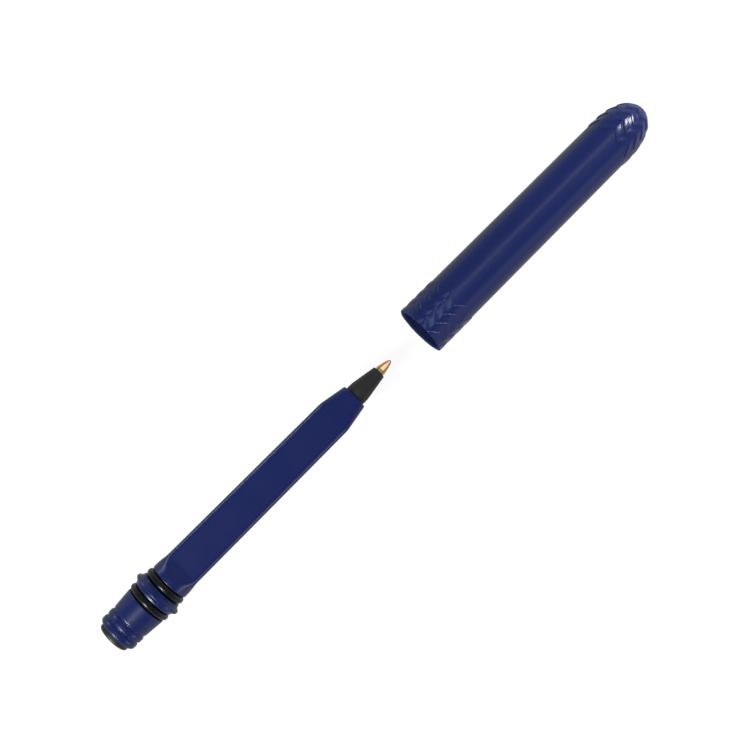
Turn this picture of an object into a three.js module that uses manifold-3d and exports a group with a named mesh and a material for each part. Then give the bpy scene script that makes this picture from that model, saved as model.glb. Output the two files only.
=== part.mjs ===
// A pocket ballpoint pen with its cap pulled off and lying in line ahead of the writing point.
// The barrel has a round tail stub, a collar between two O-rings, and a three-sided grip.
// The cap slides back over the grip until its rim meets the collar, or goes on the stub as a tail.
// Millimetres, +X from the tail to the cap's closed end, +Z up. Stations run along the pen's axis
// from the tail end; the finished group is moved so that its origin is under the middle of the pen.
import * as THREE from "three";
import { mergeVertices } from "three/addons/utils/BufferGeometryUtils.js";
import Module from "manifold-3d";

const wasm = await Module();
wasm.setup();

// Fits
const pressFit = 0.05; // radial, between pieces pushed together for good
const seatGap = 0.05; // along the axis, between shoulders that meet
const sealFit = 0.17; // radial, between the front O-ring and the cap's mouth
const capRunning = 0.2; // radial, between the grip's corners and the cap's bore
const overshoot = 1; // how far a cutting tool runs past a face

// End plug in the tail
const plugHeadLength = 1.25;
const plugHeadRadius = 4.05;
const plugEdge = 0.9;
const plugSpigotLength = 6.9;
const plugSpigotRadius = 2.95;
const plugLeadIn = 0.4;

// Tail stub of the barrel, with two snap ribs, widening towards the collar
const stubLength = 9.4;
const stubTailRadius = 5.04;
const stubWaistRadius = 4.96; // just after the last notch
const stubCollarRadius = 5.37;
const stubEndRound = 1.0;
const snapRibCount = 2;
const snapRibPitch = 2.0;
const snapNotchDepth = 0.45;
const snapNotchHalf = 0.45; // half of a notch's length

// O-rings and the collar between them
const rearRingSection = 1.8;
const rearRingOuter = 5.7;
const frontRingSection = 1.8;
const frontRingOuter = 5.45;
const grooveSlack = 0.4; // along the axis, round each ring
const grooveDrop = 0.1; // how far each groove's edge is eased, radially
const grooveEase = 0.2; // and along the axis, on the stub's side
const collarFoot = 5.57;
const collarCrest = 6.35;
const collarCrestWidth = 0.5;
const collarCrestRound = 0.1;
const collarRearFlank = 0.78;
const collarFrontFlank = 0.58;
const collarRearLand = 0.35; // between each groove and the collar's foot
const collarFrontLand = 0.64;

// Three-sided grip
const shoulderRadius = 5.07;
const shoulderLength = 1.3;
const shoulderRound = 0.3;
const blendLength = 3.6;
const blendRows = 4;
const gripFlat = 3.25; // from the axis to each flat
const gripRearReach = 5.25; // from the axis to a corner, at the tail end of the flats
const gripFrontReach = 5.05;
const gripLength = 48.5;
const noseLength = 7.65;
const noseReach = 3.47;
const noseFlat = 3.12;
const noseBendLength = 1.4;
const noseBendRows = 3;
const noseEndRound = 0.25;

// Bores of the barrel
const boreRadius = 2.35;

// Nose cone, which holds the writing point and carries the ink tube
const coneLandRadius = 2.72;
const coneLandLength = 1.75;
const coneLength = 6.55;
const coneTipRadius = 1.65;
const coneTipRound = 0.15;
const coneSpigotLength = 12;
const nippleRadius = 1.2;
const nippleLength = 4.5;
const nippleLeadIn = 0.3;
const inkChannelRadius = 0.5;

// Writing point and ball
const pointShankRadius = 1.0;
const pointShankLength = 3.6;
const pointShankChamfer = 0.14;
const pointHeadRadius = 1.25;
const pointHeadLength = 0.8;
const pointEaseLength = 0.2; // between the head and the cone
const pointConeRadius = 1.19;
const pointBendLength = 1.4; // from the cone's start to where it steepens
const pointBendRadius = 0.87;
const pointLength = 3.91; // head's shoulder to the ball's front
const pointChannelRadius = 0.3;
const pointLipWall = 0.05;
const pointLipSlope = 0.14; // length of the steeper cone behind the lip
const ballRadius = 0.4;
const ballClearance = 0.03;
const ballProud = 0.26; // how far the ball stands out of its lip

// Ink tube and what fills it
const tubeWall = 0.35;
const inkLength = 38;
const greaseLength = 3;
const tubeSpare = 3.4; // empty stretch of the tube, behind the grease

// Cap
const capLift = 10.2; // writing point to the rim of the pulled-off cap
const capTipClearance = 1.0; // writing point to the closed end, with the cap on
const capEndWall = 1.25;
const capMouthWall = 0.96; // between the ribs, at the mouth
const capMouthLength = 6;
const capStepSlope = 2; // length for each unit of radius where the mouth narrows to the bore
const capDraft = 0.2; // how much slimmer the outside gets from mouth to dome
const capBoreDraft = 0.15;
const capDomeLength = 11.3;
const capDomeFullness = 2.12; // exponent of the dome's outline: 2 is an ellipse
const capClosingRows = 5;
const capClosingReach = 0.91; // the last row closes this share of the way, on a square law
const capRimRound = 0.12;
const capRimChamfer = 0.35;
const capStopGap = 0.1; // rim to the collar's flank, with the cap on

// Zigzag ribs round the cap's mouth and its dome, each with its steep flank on the plain middle's side
const ribHeight = 0.17;
const ribTop = 0.6;
const ribSteepFlank = 0.2;
const ribGentleFlank = 1.35;
const zigzagCount = 8;
const zigzagReach = 2.35; // how far a zigzag runs along the cap
const mouthRibCount = 4;
const mouthRibPitch = 2.95;
const mouthRibOffset = 0.05; // rim to the first rib's far foot, at the zigzag's near points
const domeRibCount = 4;
const domeRibPitch = 3.05;
const domeRibMargin = 2.2; // last rib's far foot to the closed end, at the zigzag's near points

// Number of faces round each kind of piece
const turnedFaces = 32;
const fineFaces = 24;
const ringFaces = 40;
const ringSectionFaces = 10;
const capFacesPerZigzag = 6;

// Stations that follow from the sizes above
const stubStart = plugHeadLength + seatGap;
const rearGrooveStart = stubStart + stubLength;
const rearGrooveEnd = rearGrooveStart + rearRingSection + grooveSlack;
const collarRearFoot = rearGrooveEnd + collarRearLand;
const collarFrontFoot = collarRearFoot + collarRearFlank + collarCrestWidth + collarFrontFlank;
const collarEnd = collarFrontFoot + collarFrontLand;
const frontGrooveEnd = collarEnd + frontRingSection + grooveSlack;
const gripStart = frontGrooveEnd + shoulderLength + blendLength;
const gripEnd = gripStart + gripLength;
const barrelEnd = gripEnd + noseLength;
const coneFace = barrelEnd + seatGap;
const coneEnd = coneFace + coneLandLength + coneLength;
const pointShoulder = coneEnd + seatGap;
const pointEnd = pointShoulder + pointLength;
const ballCentre = pointEnd - ballRadius;
const lipStation = pointEnd - ballProud;
const spigotEnd = coneFace - coneSpigotLength;
const nippleEnd = spigotEnd - nippleLength;
const socketFloor = coneEnd - pointShankLength - seatGap;
const rearGrooveFloor = rearRingOuter - rearRingSection - pressFit;
const frontGrooveFloor = frontRingOuter - frontRingSection - pressFit;
const tubeBore = nippleRadius + pressFit;
const tubeEnd = spigotEnd - seatGap;
const inkEnd = nippleEnd - seatGap;
const inkStart = inkEnd - inkLength;
const greaseEnd = inkStart - seatGap;
const greaseStart = greaseEnd - greaseLength;
const tubeStart = greaseStart - tubeSpare;

// The cap's mouth goes over the front O-ring, and its bore clears the grip's corners
const capMouthBore = frontRingOuter + sealFit;
const capBore = gripRearReach + capRunning;
const capEndBore = capBore - capBoreDraft;
const capMouthRadius = capMouthBore + capMouthWall;
const rimContactRadius = Math.min(capMouthBore + capRimChamfer, collarCrest - collarCrestRound);
const collarSeat =
  collarFrontFoot -
  (collarFrontFlank * (rimContactRadius - collarFoot)) /
    (collarCrest - collarCrestRound - collarFoot);
const capClosedRim = collarSeat + capStopGap;
const capDepth = pointEnd - capClosedRim + capTipClearance;
const capLength = capDepth + capEndWall;
const capRestRim = pointEnd + capLift;
const capDomeStart = capLength - capDomeLength;
const penLength = capRestRim + capLength;
const axisHeight = Math.max(capMouthRadius + ribHeight, collarCrest);

// Materials
const navy = new THREE.MeshStandardMaterial({ color: 0x1c2b6b, roughness: 0.3, metalness: 0 });
const capNavy = new THREE.MeshStandardMaterial({ color: 0x1a2765, roughness: 0.28, metalness: 0 });
const blackPlastic = new THREE.MeshStandardMaterial({ color: 0x262626, roughness: 0.5, metalness: 0 });
const rubber = new THREE.MeshStandardMaterial({ color: 0x151617, roughness: 0.4, metalness: 0 });
const brass = new THREE.MeshStandardMaterial({ color: 0xc99a55, roughness: 0.25, metalness: 1 });
const carbide = new THREE.MeshStandardMaterial({ color: 0x9a9590, roughness: 0.2, metalness: 1 });
const milkyPlastic = new THREE.MeshStandardMaterial({ color: 0xdfe3e6, roughness: 0.35, metalness: 0 });
const ink = new THREE.MeshStandardMaterial({ color: 0x07070c, roughness: 0.2, metalness: 0 });
const grease = new THREE.MeshStandardMaterial({ color: 0xd9c98a, roughness: 0.3, metalness: 0 });

const degrees = THREE.MathUtils.degToRad;

// Even steps from just above 0 up to 1
function steps(count) {
  return Array.from({ length: count }, (_, i) => (i + 1) / count);
}

// Points of an arc in an outline of [station, radius] pairs
function arc(station, radius, size, from, to, parts) {
  return Array.from({ length: parts + 1 }, (_, i) => {
    const angle = degrees(from + ((to - from) * i) / parts);
    return [station + size * Math.cos(angle), radius + size * Math.sin(angle)];
  });
}

// A solid turned about the pen's axis from an outline that starts and ends on the axis
function turned(outline, faces = turnedFaces) {
  const points = outline.map(([station, radius]) => new THREE.Vector2(radius, station));
  return new THREE.LatheGeometry(points, faces).rotateZ(-Math.PI / 2);
}

// A turned solid with a hole right through, whose outline closes on itself
function turnedTube(outline, faces = turnedFaces) {
  return turned([...outline, outline[0]], faces);
}

// A skin over rings of points, closed by a fan at each end. Each ring runs the same way round.
function skin(rings) {
  const around = rings[0].length;
  const positions = rings.flat().flatMap((p) => [p.x, p.y, p.z]);
  const faces = [];
  for (let i = 0; i + 1 < rings.length; i++) {
    for (let j = 0; j < around; j++) {
      const a = i * around + j;
      const b = i * around + ((j + 1) % around);
      faces.push(a, b, a + around, b, b + around, a + around);
    }
  }
  [0, rings.length - 1].forEach((i) => {
    const middle = rings[i].reduce((sum, p) => sum.add(p), new THREE.Vector3());
    middle.divideScalar(around);
    const hub = positions.length / 3;
    positions.push(middle.x, middle.y, middle.z);
    for (let j = 0; j < around; j++) {
      const edge = [i * around + j, i * around + ((j + 1) % around)];
      faces.push(hub, ...(i === 0 ? edge.reverse() : edge));
    }
  });
  const geometry = new THREE.BufferGeometry();
  geometry.setAttribute("position", new THREE.Float32BufferAttribute(positions, 3));
  geometry.setIndex(faces);
  return geometry;
}

function solid(geometry) {
  const plain = geometry.clone();
  plain.deleteAttribute("normal");
  plain.deleteAttribute("uv");
  const merged = mergeVertices(plain, 1e-4);
  return new wasm.Manifold(
    new wasm.Mesh({
      numProp: 3,
      vertProperties: merged.attributes.position.array,
      triVerts: new Uint32Array(merged.index.array),
    }),
  );
}

// The first geometry with the others cut out of it
function cut(geometry, ...tools) {
  const made = tools.reduce((body, tool) => body.subtract(solid(tool)), solid(geometry));
  const mesh = made.getMesh();
  const result = new THREE.BufferGeometry();
  result.setAttribute("position", new THREE.Float32BufferAttribute(mesh.vertProperties, 3));
  result.setIndex(new THREE.BufferAttribute(mesh.triVerts, 1));
  return result;
}

function piece(name, geometry, material) {
  const mesh = new THREE.Mesh(geometry, material);
  mesh.name = name;
  return mesh;
}

// End plug: a round-edged head that closes the tail, on a spigot pressed into the stub
function endPlug() {
  const tip = stubStart + plugSpigotLength;
  return turned([
    [0, 0],
    ...arc(plugEdge, plugHeadRadius - plugEdge, plugEdge, 180, 90, 4),
    [plugHeadLength, plugHeadRadius],
    [plugHeadLength, plugSpigotRadius],
    [tip - plugLeadIn, plugSpigotRadius],
    [tip, plugSpigotRadius - plugLeadIn],
    [tip, 0],
  ]);
}

// Outline of the stub: the rounded end, the snap ribs with a notch after each, and the taper
function stubOutline() {
  const crest = stubTailRadius;
  const points = arc(
    stubStart + stubEndRound, crest - stubEndRound, stubEndRound, 180, 90, 3,
  );
  for (let i = 1; i <= snapRibCount; i++) {
    const notch = stubStart + i * snapRibPitch;
    points.push(
      [notch - snapNotchHalf, crest],
      [notch, crest - snapNotchDepth],
      [notch + snapNotchHalf, i < snapRibCount ? crest : stubWaistRadius],
    );
  }
  points.push(
    [rearGrooveStart - grooveEase, stubCollarRadius],
    [rearGrooveStart, stubCollarRadius - grooveDrop],
  );
  return points;
}

// Outline of the two grooves and the collar between them
function collarOutline() {
  const crestStart = collarRearFoot + collarRearFlank;
  const crestEnd = crestStart + collarCrestWidth;
  return [
    [rearGrooveStart, rearGrooveFloor],
    [rearGrooveEnd, rearGrooveFloor],
    [rearGrooveEnd, collarFoot - grooveDrop],
    [collarRearFoot, collarFoot],
    [crestStart, collarCrest - collarCrestRound],
    [(crestStart + crestEnd) / 2, collarCrest],
    [crestEnd, collarCrest - collarCrestRound],
    [collarFrontFoot, collarFoot],
    [collarEnd, collarFoot - grooveDrop],
    [collarEnd, frontGrooveFloor],
    [frontGrooveEnd, frontGrooveFloor],
  ];
}

// Distance from the axis to the outline of a rounded triangle, at an angle from a flat's middle.
// With reach equal to flat the triangle is a circle.
function sectionRadius(reach, flat, angle) {
  const cornerCentre = 2 * (reach - flat);
  const cornerRadius = 2 * flat - reach;
  const flatEnd = Math.atan2((cornerCentre * Math.sqrt(3)) / 2, flat);
  if (angle <= flatEnd) return flat / Math.cos(angle);
  const off = Math.PI / 3 - angle;
  const across = cornerCentre * Math.sin(off);
  return cornerCentre * Math.cos(off) + Math.sqrt(cornerRadius ** 2 - across ** 2);
}

// Angles round a section, from the middle of a flat to a corner: closest where the corners bend
const halfSideAngles = [0, 12, 24, 34, 43, 47.5, 52, 56].map(degrees);
const sideAngle = 2 * Math.PI / 3;

function sectionRing(station, reach, flat) {
  const side = [
    ...halfSideAngles.map((a) => [a, a]),
    [sideAngle / 2, sideAngle / 2],
    ...halfSideAngles.slice(1).reverse().map((a) => [sideAngle - a, a]),
  ];
  return [0, 1, 2].flatMap((k) =>
    side.map(([turn, angle]) => {
      const radius = sectionRadius(reach, flat, angle);
      const around = k * sideAngle + turn;
      return new THREE.Vector3(station, -radius * Math.sin(around), radius * Math.cos(around));
    }),
  );
}

// Barrel: round from the tail to the shoulder, then blended into three flats, then a nose
function barrel() {
  const round = [
    ...stubOutline(),
    ...collarOutline(),
    ...arc(frontGrooveEnd + shoulderRound, shoulderRadius - shoulderRound, shoulderRound, 180, 90, 3),
    [frontGrooveEnd + shoulderLength, shoulderRadius],
  ].map(([station, radius]) => [station, radius, radius]);
  const blendStart = frontGrooveEnd + shoulderLength;
  const blend = steps(blendRows + 1).slice(0, -1).map((t) => {
    const s = THREE.MathUtils.smoothstep(t, 0, 1);
    return [
      blendStart + t * blendLength,
      THREE.MathUtils.lerp(shoulderRadius, gripRearReach, s),
      THREE.MathUtils.lerp(shoulderRadius, gripFlat, s),
    ];
  });
  const nose = steps(noseBendRows).map((t) => [t * t * noseBendLength, t * noseBendLength]);
  const slope = (gripFrontReach - noseReach) / (noseLength - noseBendLength / 2);
  const flatSlope = (gripFlat - noseFlat) / (noseLength - noseBendLength / 2);
  const noseRows = [
    ...nose.map(([drop, along]) => [
      gripEnd + along,
      gripFrontReach - (slope * drop) / 2,
      gripFlat - (flatSlope * drop) / 2,
    ]),
    [barrelEnd - noseEndRound, noseReach + slope * noseEndRound, noseFlat + flatSlope * noseEndRound],
    [barrelEnd, noseReach - noseEndRound, noseFlat - noseEndRound],
  ];
  const stations = [
    ...round,
    ...blend,
    [gripStart, gripRearReach, gripFlat],
    [gripEnd, gripFrontReach, gripFlat],
    ...noseRows,
  ];
  const body = skin(stations.map(([station, reach, flat]) => sectionRing(station, reach, flat)));
  const plugBoreEnd = stubStart + plugSpigotLength + plugLeadIn;
  const plugBore = plugSpigotRadius + pressFit;
  const bore = turned([
    [stubStart - overshoot, 0],
    [stubStart - overshoot, plugBore],
    [plugBoreEnd, plugBore],
    [plugBoreEnd, boreRadius],
    [barrelEnd + overshoot, boreRadius],
    [barrelEnd + overshoot, 0],
  ]);
  return cut(body, bore);
}

// O-ring centred in its groove
function oRing(grooveStart, grooveEnd, outer, section) {
  const geometry = new THREE.TorusGeometry(
    outer - section / 2, section / 2, ringSectionFaces, ringFaces,
  );
  geometry.rotateY(Math.PI / 2);
  return geometry.translate((grooveStart + grooveEnd) / 2, 0, 0);
}

// Nose cone: land and cone outside, spigot in the barrel, nipple in the ink tube
function noseCone() {
  const spigot = boreRadius - pressFit;
  const socket = pointShankRadius + pressFit;
  const coneStart = coneFace + coneLandLength;
  return turnedTube([
    [nippleEnd, inkChannelRadius],
    [nippleEnd, nippleRadius - coneTipRound],
    [nippleEnd + nippleLeadIn, nippleRadius],
    [spigotEnd, nippleRadius],
    [spigotEnd, spigot - coneTipRound],
    [spigotEnd + coneTipRound, spigot],
    [coneFace, spigot],
    [coneFace, coneLandRadius],
    [coneStart, coneLandRadius],
    [coneEnd - coneTipRound, coneTipRadius],
    [coneEnd, coneTipRadius - coneTipRound],
    [coneEnd, socket],
    [socketFloor, socket],
    [socketFloor, inkChannelRadius],
  ]);
}

// Writing point: shank in the nose cone, head, taper, and a lip turned in over the ball
function writingPoint() {
  const socket = ballRadius + ballClearance;
  const seatAngle = THREE.MathUtils.radToDeg(Math.asin(pointChannelRadius / socket));
  const lipAngle = THREE.MathUtils.radToDeg(Math.acos((lipStation - ballCentre) / socket));
  const lipInner = socket * Math.sin(degrees(lipAngle));
  const shankEnd = pointShoulder - pointShankLength;
  const headEnd = pointShoulder + pointHeadLength;
  const coneStart = headEnd + pointEaseLength;
  const lipOuter = lipInner + pointLipWall;
  return turnedTube(
    [
      [shankEnd, pointChannelRadius],
      [shankEnd, pointShankRadius - pointShankChamfer],
      [shankEnd + pointShankChamfer, pointShankRadius],
      [pointShoulder, pointShankRadius],
      [pointShoulder, pointHeadRadius],
      [headEnd, pointHeadRadius],
      [coneStart, pointConeRadius],
      [coneStart + pointBendLength, pointBendRadius],
      [lipStation - pointLipSlope, lipOuter + pointLipWall],
      [lipStation, lipOuter],
      ...arc(ballCentre, 0, socket, lipAngle, 180 - seatAngle, 8),
    ],
    fineFaces,
  );
}

function ball() {
  return new THREE.SphereGeometry(ballRadius, 20, 12).translate(ballCentre, 0, 0);
}

// Ink tube, pushed over the nipple
function inkTube() {
  return turnedTube(
    [
      [tubeStart, tubeBore],
      [tubeStart, tubeBore + tubeWall],
      [tubeEnd, tubeBore + tubeWall],
      [tubeEnd, tubeBore],
    ],
    fineFaces,
  );
}

// The ink in the tube, or the grease that follows the ink
function filling(start, end) {
  const radius = tubeBore - pressFit;
  return turned([[start, 0], [start, radius], [end, radius], [end, 0]], fineFaces);
}

// Outside of the cap without its ribs: a slight draft, then a long round dome
function capRadius(station) {
  const domeRadius = capMouthRadius - capDraft;
  if (station <= capDomeStart) {
    return THREE.MathUtils.lerp(capMouthRadius, domeRadius, Math.max(station, 0) / capDomeStart);
  }
  const along = Math.min((station - capDomeStart) / capDomeLength, 1);
  return domeRadius * (1 - along ** capDomeFullness) ** (1 / capDomeFullness);
}

// Height of the mouth's first rib, which the rim cuts off, at a station at the zigzag's near points
function firstRib(station) {
  const up = (station - mouthRibOffset + ribSteepFlank + ribTop) / ribGentleFlank + 1;
  const down = (mouthRibOffset - station) / ribSteepFlank;
  return ribHeight * THREE.MathUtils.clamp(Math.min(up, down), 0, 1);
}

// One ring round the cap. The zigzag moves its points along the cap, less where the dome closes,
// and no point comes nearer to the rim than least. The first rib adds to the relief.
function capRing(station, zigzag, relief, least = 0) {
  const around = zigzagCount * capFacesPerZigzag;
  const firstPoint = Math.PI / zigzagCount / 2;
  const reach = zigzagReach * (capRadius(station) / capMouthRadius) ** 2;
  return Array.from({ length: around }, (_, j) => {
    const turn = ((j % capFacesPerZigzag) / capFacesPerZigzag) * 2;
    const share = turn < 1 ? turn : 2 - turn;
    const x = Math.max(station + zigzag * reach * share, least);
    const radius = capRadius(x) + relief + firstRib(x - reach * share);
    const angle = firstPoint + (2 * Math.PI * j) / around;
    return new THREE.Vector3(x, -radius * Math.sin(angle), radius * Math.cos(angle));
  });
}

// Rows of one rib that ends at farFoot: up its near flank, along its top, down its far flank
function ribRows(farFoot, nearFlank, farFlank) {
  const topEnd = farFoot - farFlank;
  const topStart = topEnd - ribTop;
  return [
    [topStart - nearFlank, 1, 0],
    [topStart, 1, ribHeight],
    [topEnd, 1, ribHeight],
    [farFoot, 1, 0],
  ];
}

// Far feet of a band of ribs
function band(first, count, pitch) {
  return Array.from({ length: count }, (_, i) => first + i * pitch);
}

// Cap: ribbed outside, bored for the mouth, the grip and the writing point
function cap() {
  const mouthRibs = band(mouthRibOffset, mouthRibCount, mouthRibPitch);
  const lastRib = capLength - domeRibMargin;
  const domeRibs = band(lastRib - (domeRibCount - 1) * domeRibPitch, domeRibCount, domeRibPitch);
  const plainStart = mouthRibs.at(-1) + 2 * zigzagReach;
  const plainEnd = domeRibs[0] - ribTop - ribGentleFlank - zigzagReach;
  const firstRibRows = ribRows(mouthRibOffset, ribGentleFlank, ribSteepFlank).map(
    ([station], i) => [station, 1, 0, (1.4 + 0.4 * i) * capRimRound],
  );
  const closing = steps(capClosingRows).map((t) => {
    const share = 1 - (1 - t * capClosingReach) ** 2;
    return [lastRib + share * domeRibMargin, 1 - share, 0];
  });
  const rows = [
    [0, 0, -capRimRound],
    [capRimRound, 0, 0],
    ...firstRibRows,
    ...mouthRibs.slice(1).flatMap((foot) => ribRows(foot, ribGentleFlank, ribSteepFlank)),
    [plainStart, 0, 0],
    [plainEnd, 0, 0],
    ...domeRibs.flatMap((foot) => ribRows(foot, ribSteepFlank, ribGentleFlank)),
    ...closing,
  ];
  const outside = skin(rows.map((row) => capRing(...row)));
  const innerDome = arc(0, 0, 1, 90, 0, 6).map(([along, out]) => [
    capDomeStart + along * (capDepth - capDomeStart),
    out * capEndBore,
  ]);
  const inside = turned([
    [-overshoot, 0],
    [-overshoot, capMouthBore + capRimChamfer + overshoot],
    [0, capMouthBore + capRimChamfer],
    [capRimChamfer, capMouthBore],
    [capMouthLength, capMouthBore],
    [capMouthLength + capStepSlope * (capMouthBore - capBore), capBore],
    ...innerDome.slice(0, -1),
    [capDepth, 0],
  ]);
  return cut(outside, inside);
}

const barrelGroup = new THREE.Group();
barrelGroup.add(
  piece("barrel", barrel(), navy),
  piece("end_plug", endPlug(), blackPlastic),
  piece(
    "rear_o_ring",
    oRing(rearGrooveStart, rearGrooveEnd, rearRingOuter, rearRingSection),
    rubber,
  ),
  piece(
    "front_o_ring",
    oRing(collarEnd, frontGrooveEnd, frontRingOuter, frontRingSection),
    rubber,
  ),
);

const refillGroup = new THREE.Group();
refillGroup.add(
  piece("nose_cone", noseCone(), blackPlastic),
  piece("writing_point", writingPoint(), brass),
  piece("ball", ball(), carbide),
  piece("ink_tube", inkTube(), milkyPlastic),
  piece("ink_column", filling(inkStart, inkEnd), ink),
  piece("grease_follower", filling(greaseStart, greaseEnd), grease),
);

const capGroup = new THREE.Group();
capGroup.add(piece("cap", cap(), capNavy));
capGroup.position.x = capRestRim;

const pen = new THREE.Group();
pen.add(barrelGroup, refillGroup, capGroup);
pen.position.set(-penLength / 2, 0, axisHeight);

export default pen;
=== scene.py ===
"""A capped ballpoint pocket pen on a pale floor, with its cap pulled off ahead of the point.

Shapes are worked out in millimetres along the pen's axis, from its tail, and placed in metres.
"""

import math

import bpy
import numpy as np
from mathutils import Matrix, Vector


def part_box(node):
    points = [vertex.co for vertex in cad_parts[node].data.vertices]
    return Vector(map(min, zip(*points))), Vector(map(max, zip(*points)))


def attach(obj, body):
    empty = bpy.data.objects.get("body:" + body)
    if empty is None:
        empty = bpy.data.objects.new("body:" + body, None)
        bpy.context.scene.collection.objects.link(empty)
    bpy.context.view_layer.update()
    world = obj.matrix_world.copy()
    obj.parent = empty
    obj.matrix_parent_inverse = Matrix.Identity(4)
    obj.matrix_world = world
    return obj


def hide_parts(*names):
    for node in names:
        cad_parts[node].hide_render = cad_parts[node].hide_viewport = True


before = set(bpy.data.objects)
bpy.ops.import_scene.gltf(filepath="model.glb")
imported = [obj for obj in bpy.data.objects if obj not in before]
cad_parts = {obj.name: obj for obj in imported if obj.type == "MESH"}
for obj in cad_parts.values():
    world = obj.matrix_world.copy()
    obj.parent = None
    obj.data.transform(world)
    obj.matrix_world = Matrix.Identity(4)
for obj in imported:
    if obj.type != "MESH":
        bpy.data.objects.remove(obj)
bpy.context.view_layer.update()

MM = 0.001

# The pen's axis, from the frame
plug_low, plug_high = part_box("end_plug")
TAIL = plug_low.x
AXIS_HEIGHT = (plug_low.z + plug_high.z) / 2


def along(node):
    """First and last station of a node, in millimetres from the tail."""
    low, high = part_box(node)
    return (low.x - TAIL) / MM, (high.x - TAIL) / MM


def outermost(node):
    """Largest radius of a round node, in millimetres."""
    low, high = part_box(node)
    return (high.y - low.y) / 2 / MM


# Camera, matched to the photograph: it looks down at the axis, leaning towards the cap
LOOK_AT = 86.2
LOOK_ASIDE = 0.19
CAMERA_DISTANCE = 254.9
CAMERA_LEAN = math.radians(6.2)
PHOTO_PIXELS = 750
FOCAL_PIXELS = 1066
SENSOR = 36.0
CLIP_NEAR, CLIP_FAR = 0.01, 20


def make_camera():
    """Places the camera so that the pen lies on the picture's rising diagonal."""
    sine, cosine = math.sin(CAMERA_LEAN), math.cos(CAMERA_LEAN)
    view = Vector((sine, 0, -cosine))
    along_pen = Vector((cosine, 0, sine))
    across_pen = Vector((0, 1, 0))
    right = (along_pen - across_pen).normalized()
    up = (along_pen + across_pen).normalized()
    target = Vector((TAIL + LOOK_AT * MM, LOOK_ASIDE * MM, AXIS_HEIGHT))
    data = bpy.data.cameras.new("camera")
    data.sensor_width = SENSOR
    data.lens = SENSOR * FOCAL_PIXELS / PHOTO_PIXELS
    data.clip_start, data.clip_end = CLIP_NEAR, CLIP_FAR
    camera = bpy.data.objects.new("camera", data)
    turn = Matrix((right, up, -view)).transposed().to_4x4()
    camera.matrix_world = Matrix.Translation(target - view * CAMERA_DISTANCE * MM) @ turn
    bpy.context.scene.collection.objects.link(camera)
    bpy.context.scene.camera = camera


make_camera()


class Wire:
    """A socket of a node tree. Sums, differences, products and powers of wires add Math nodes."""

    def __init__(self, nodes, socket):
        self.nodes = nodes
        self.socket = socket

    def _math(self, operation, first, second):
        return self.nodes.node("ShaderNodeMath", {"operation": operation}, {0: first, 1: second})

    def __add__(self, other):
        return self._math("ADD", self, other)

    def __radd__(self, other):
        return self._math("ADD", other, self)

    def __sub__(self, other):
        return self._math("SUBTRACT", self, other)

    def __rsub__(self, other):
        return self._math("SUBTRACT", other, self)

    def __mul__(self, other):
        return self._math("MULTIPLY", self, other)

    def __pow__(self, other):
        return self._math("POWER", self, other)


def opaque(colour):
    """A colour with full alpha. A wire stays as it is."""
    return colour if isinstance(colour, Wire) else (*colour, 1)


def scaled(colour, factor):
    """A colour made darker or lighter by a factor."""
    return tuple(channel * factor for channel in colour)


class Nodes:
    """A node tree under construction."""

    def __init__(self, tree):
        self.tree = tree
        self.tree.nodes.clear()

    def add(self, kind, settings, inputs):
        """Adds a node: its settings first, then the values or wires of its sockets."""
        made = self.tree.nodes.new(kind)
        for key, value in settings.items():
            setattr(made, key, value)
        for key, value in inputs.items():
            self.join(made.inputs[key], value)
        return made

    def node(self, kind, settings, inputs, output=0):
        """Adds a node and gives the wire from one of its outputs."""
        return Wire(self, self.add(kind, settings, inputs).outputs[output])

    def join(self, socket, value):
        """Links a socket to a wire, or sets its value."""
        if isinstance(value, Wire):
            self.tree.links.new(value.socket, socket)
        else:
            socket.default_value = value

    def split(self, vector):
        """The wires of a vector's X, Y and Z."""
        made = self.add("ShaderNodeSeparateXYZ", {}, {0: vector})
        return [Wire(self, made.outputs[axis]) for axis in "XYZ"]

    def between(self, wire, low, high, first=0, last=1):
        """The first value below low, the last above high, and a smooth step between."""
        return self.node(
            "ShaderNodeMapRange",
            {"interpolation_type": "SMOOTHSTEP"},
            {"Value": wire, "From Min": low, "From Max": high, "To Min": first, "To Max": last},
        )

    def ray(self, kind):
        """1 for rays of a kind, such as Camera, and 0 for all others."""
        return self.node("ShaderNodeLightPath", {}, {}, "Is " + kind + " Ray")


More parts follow.
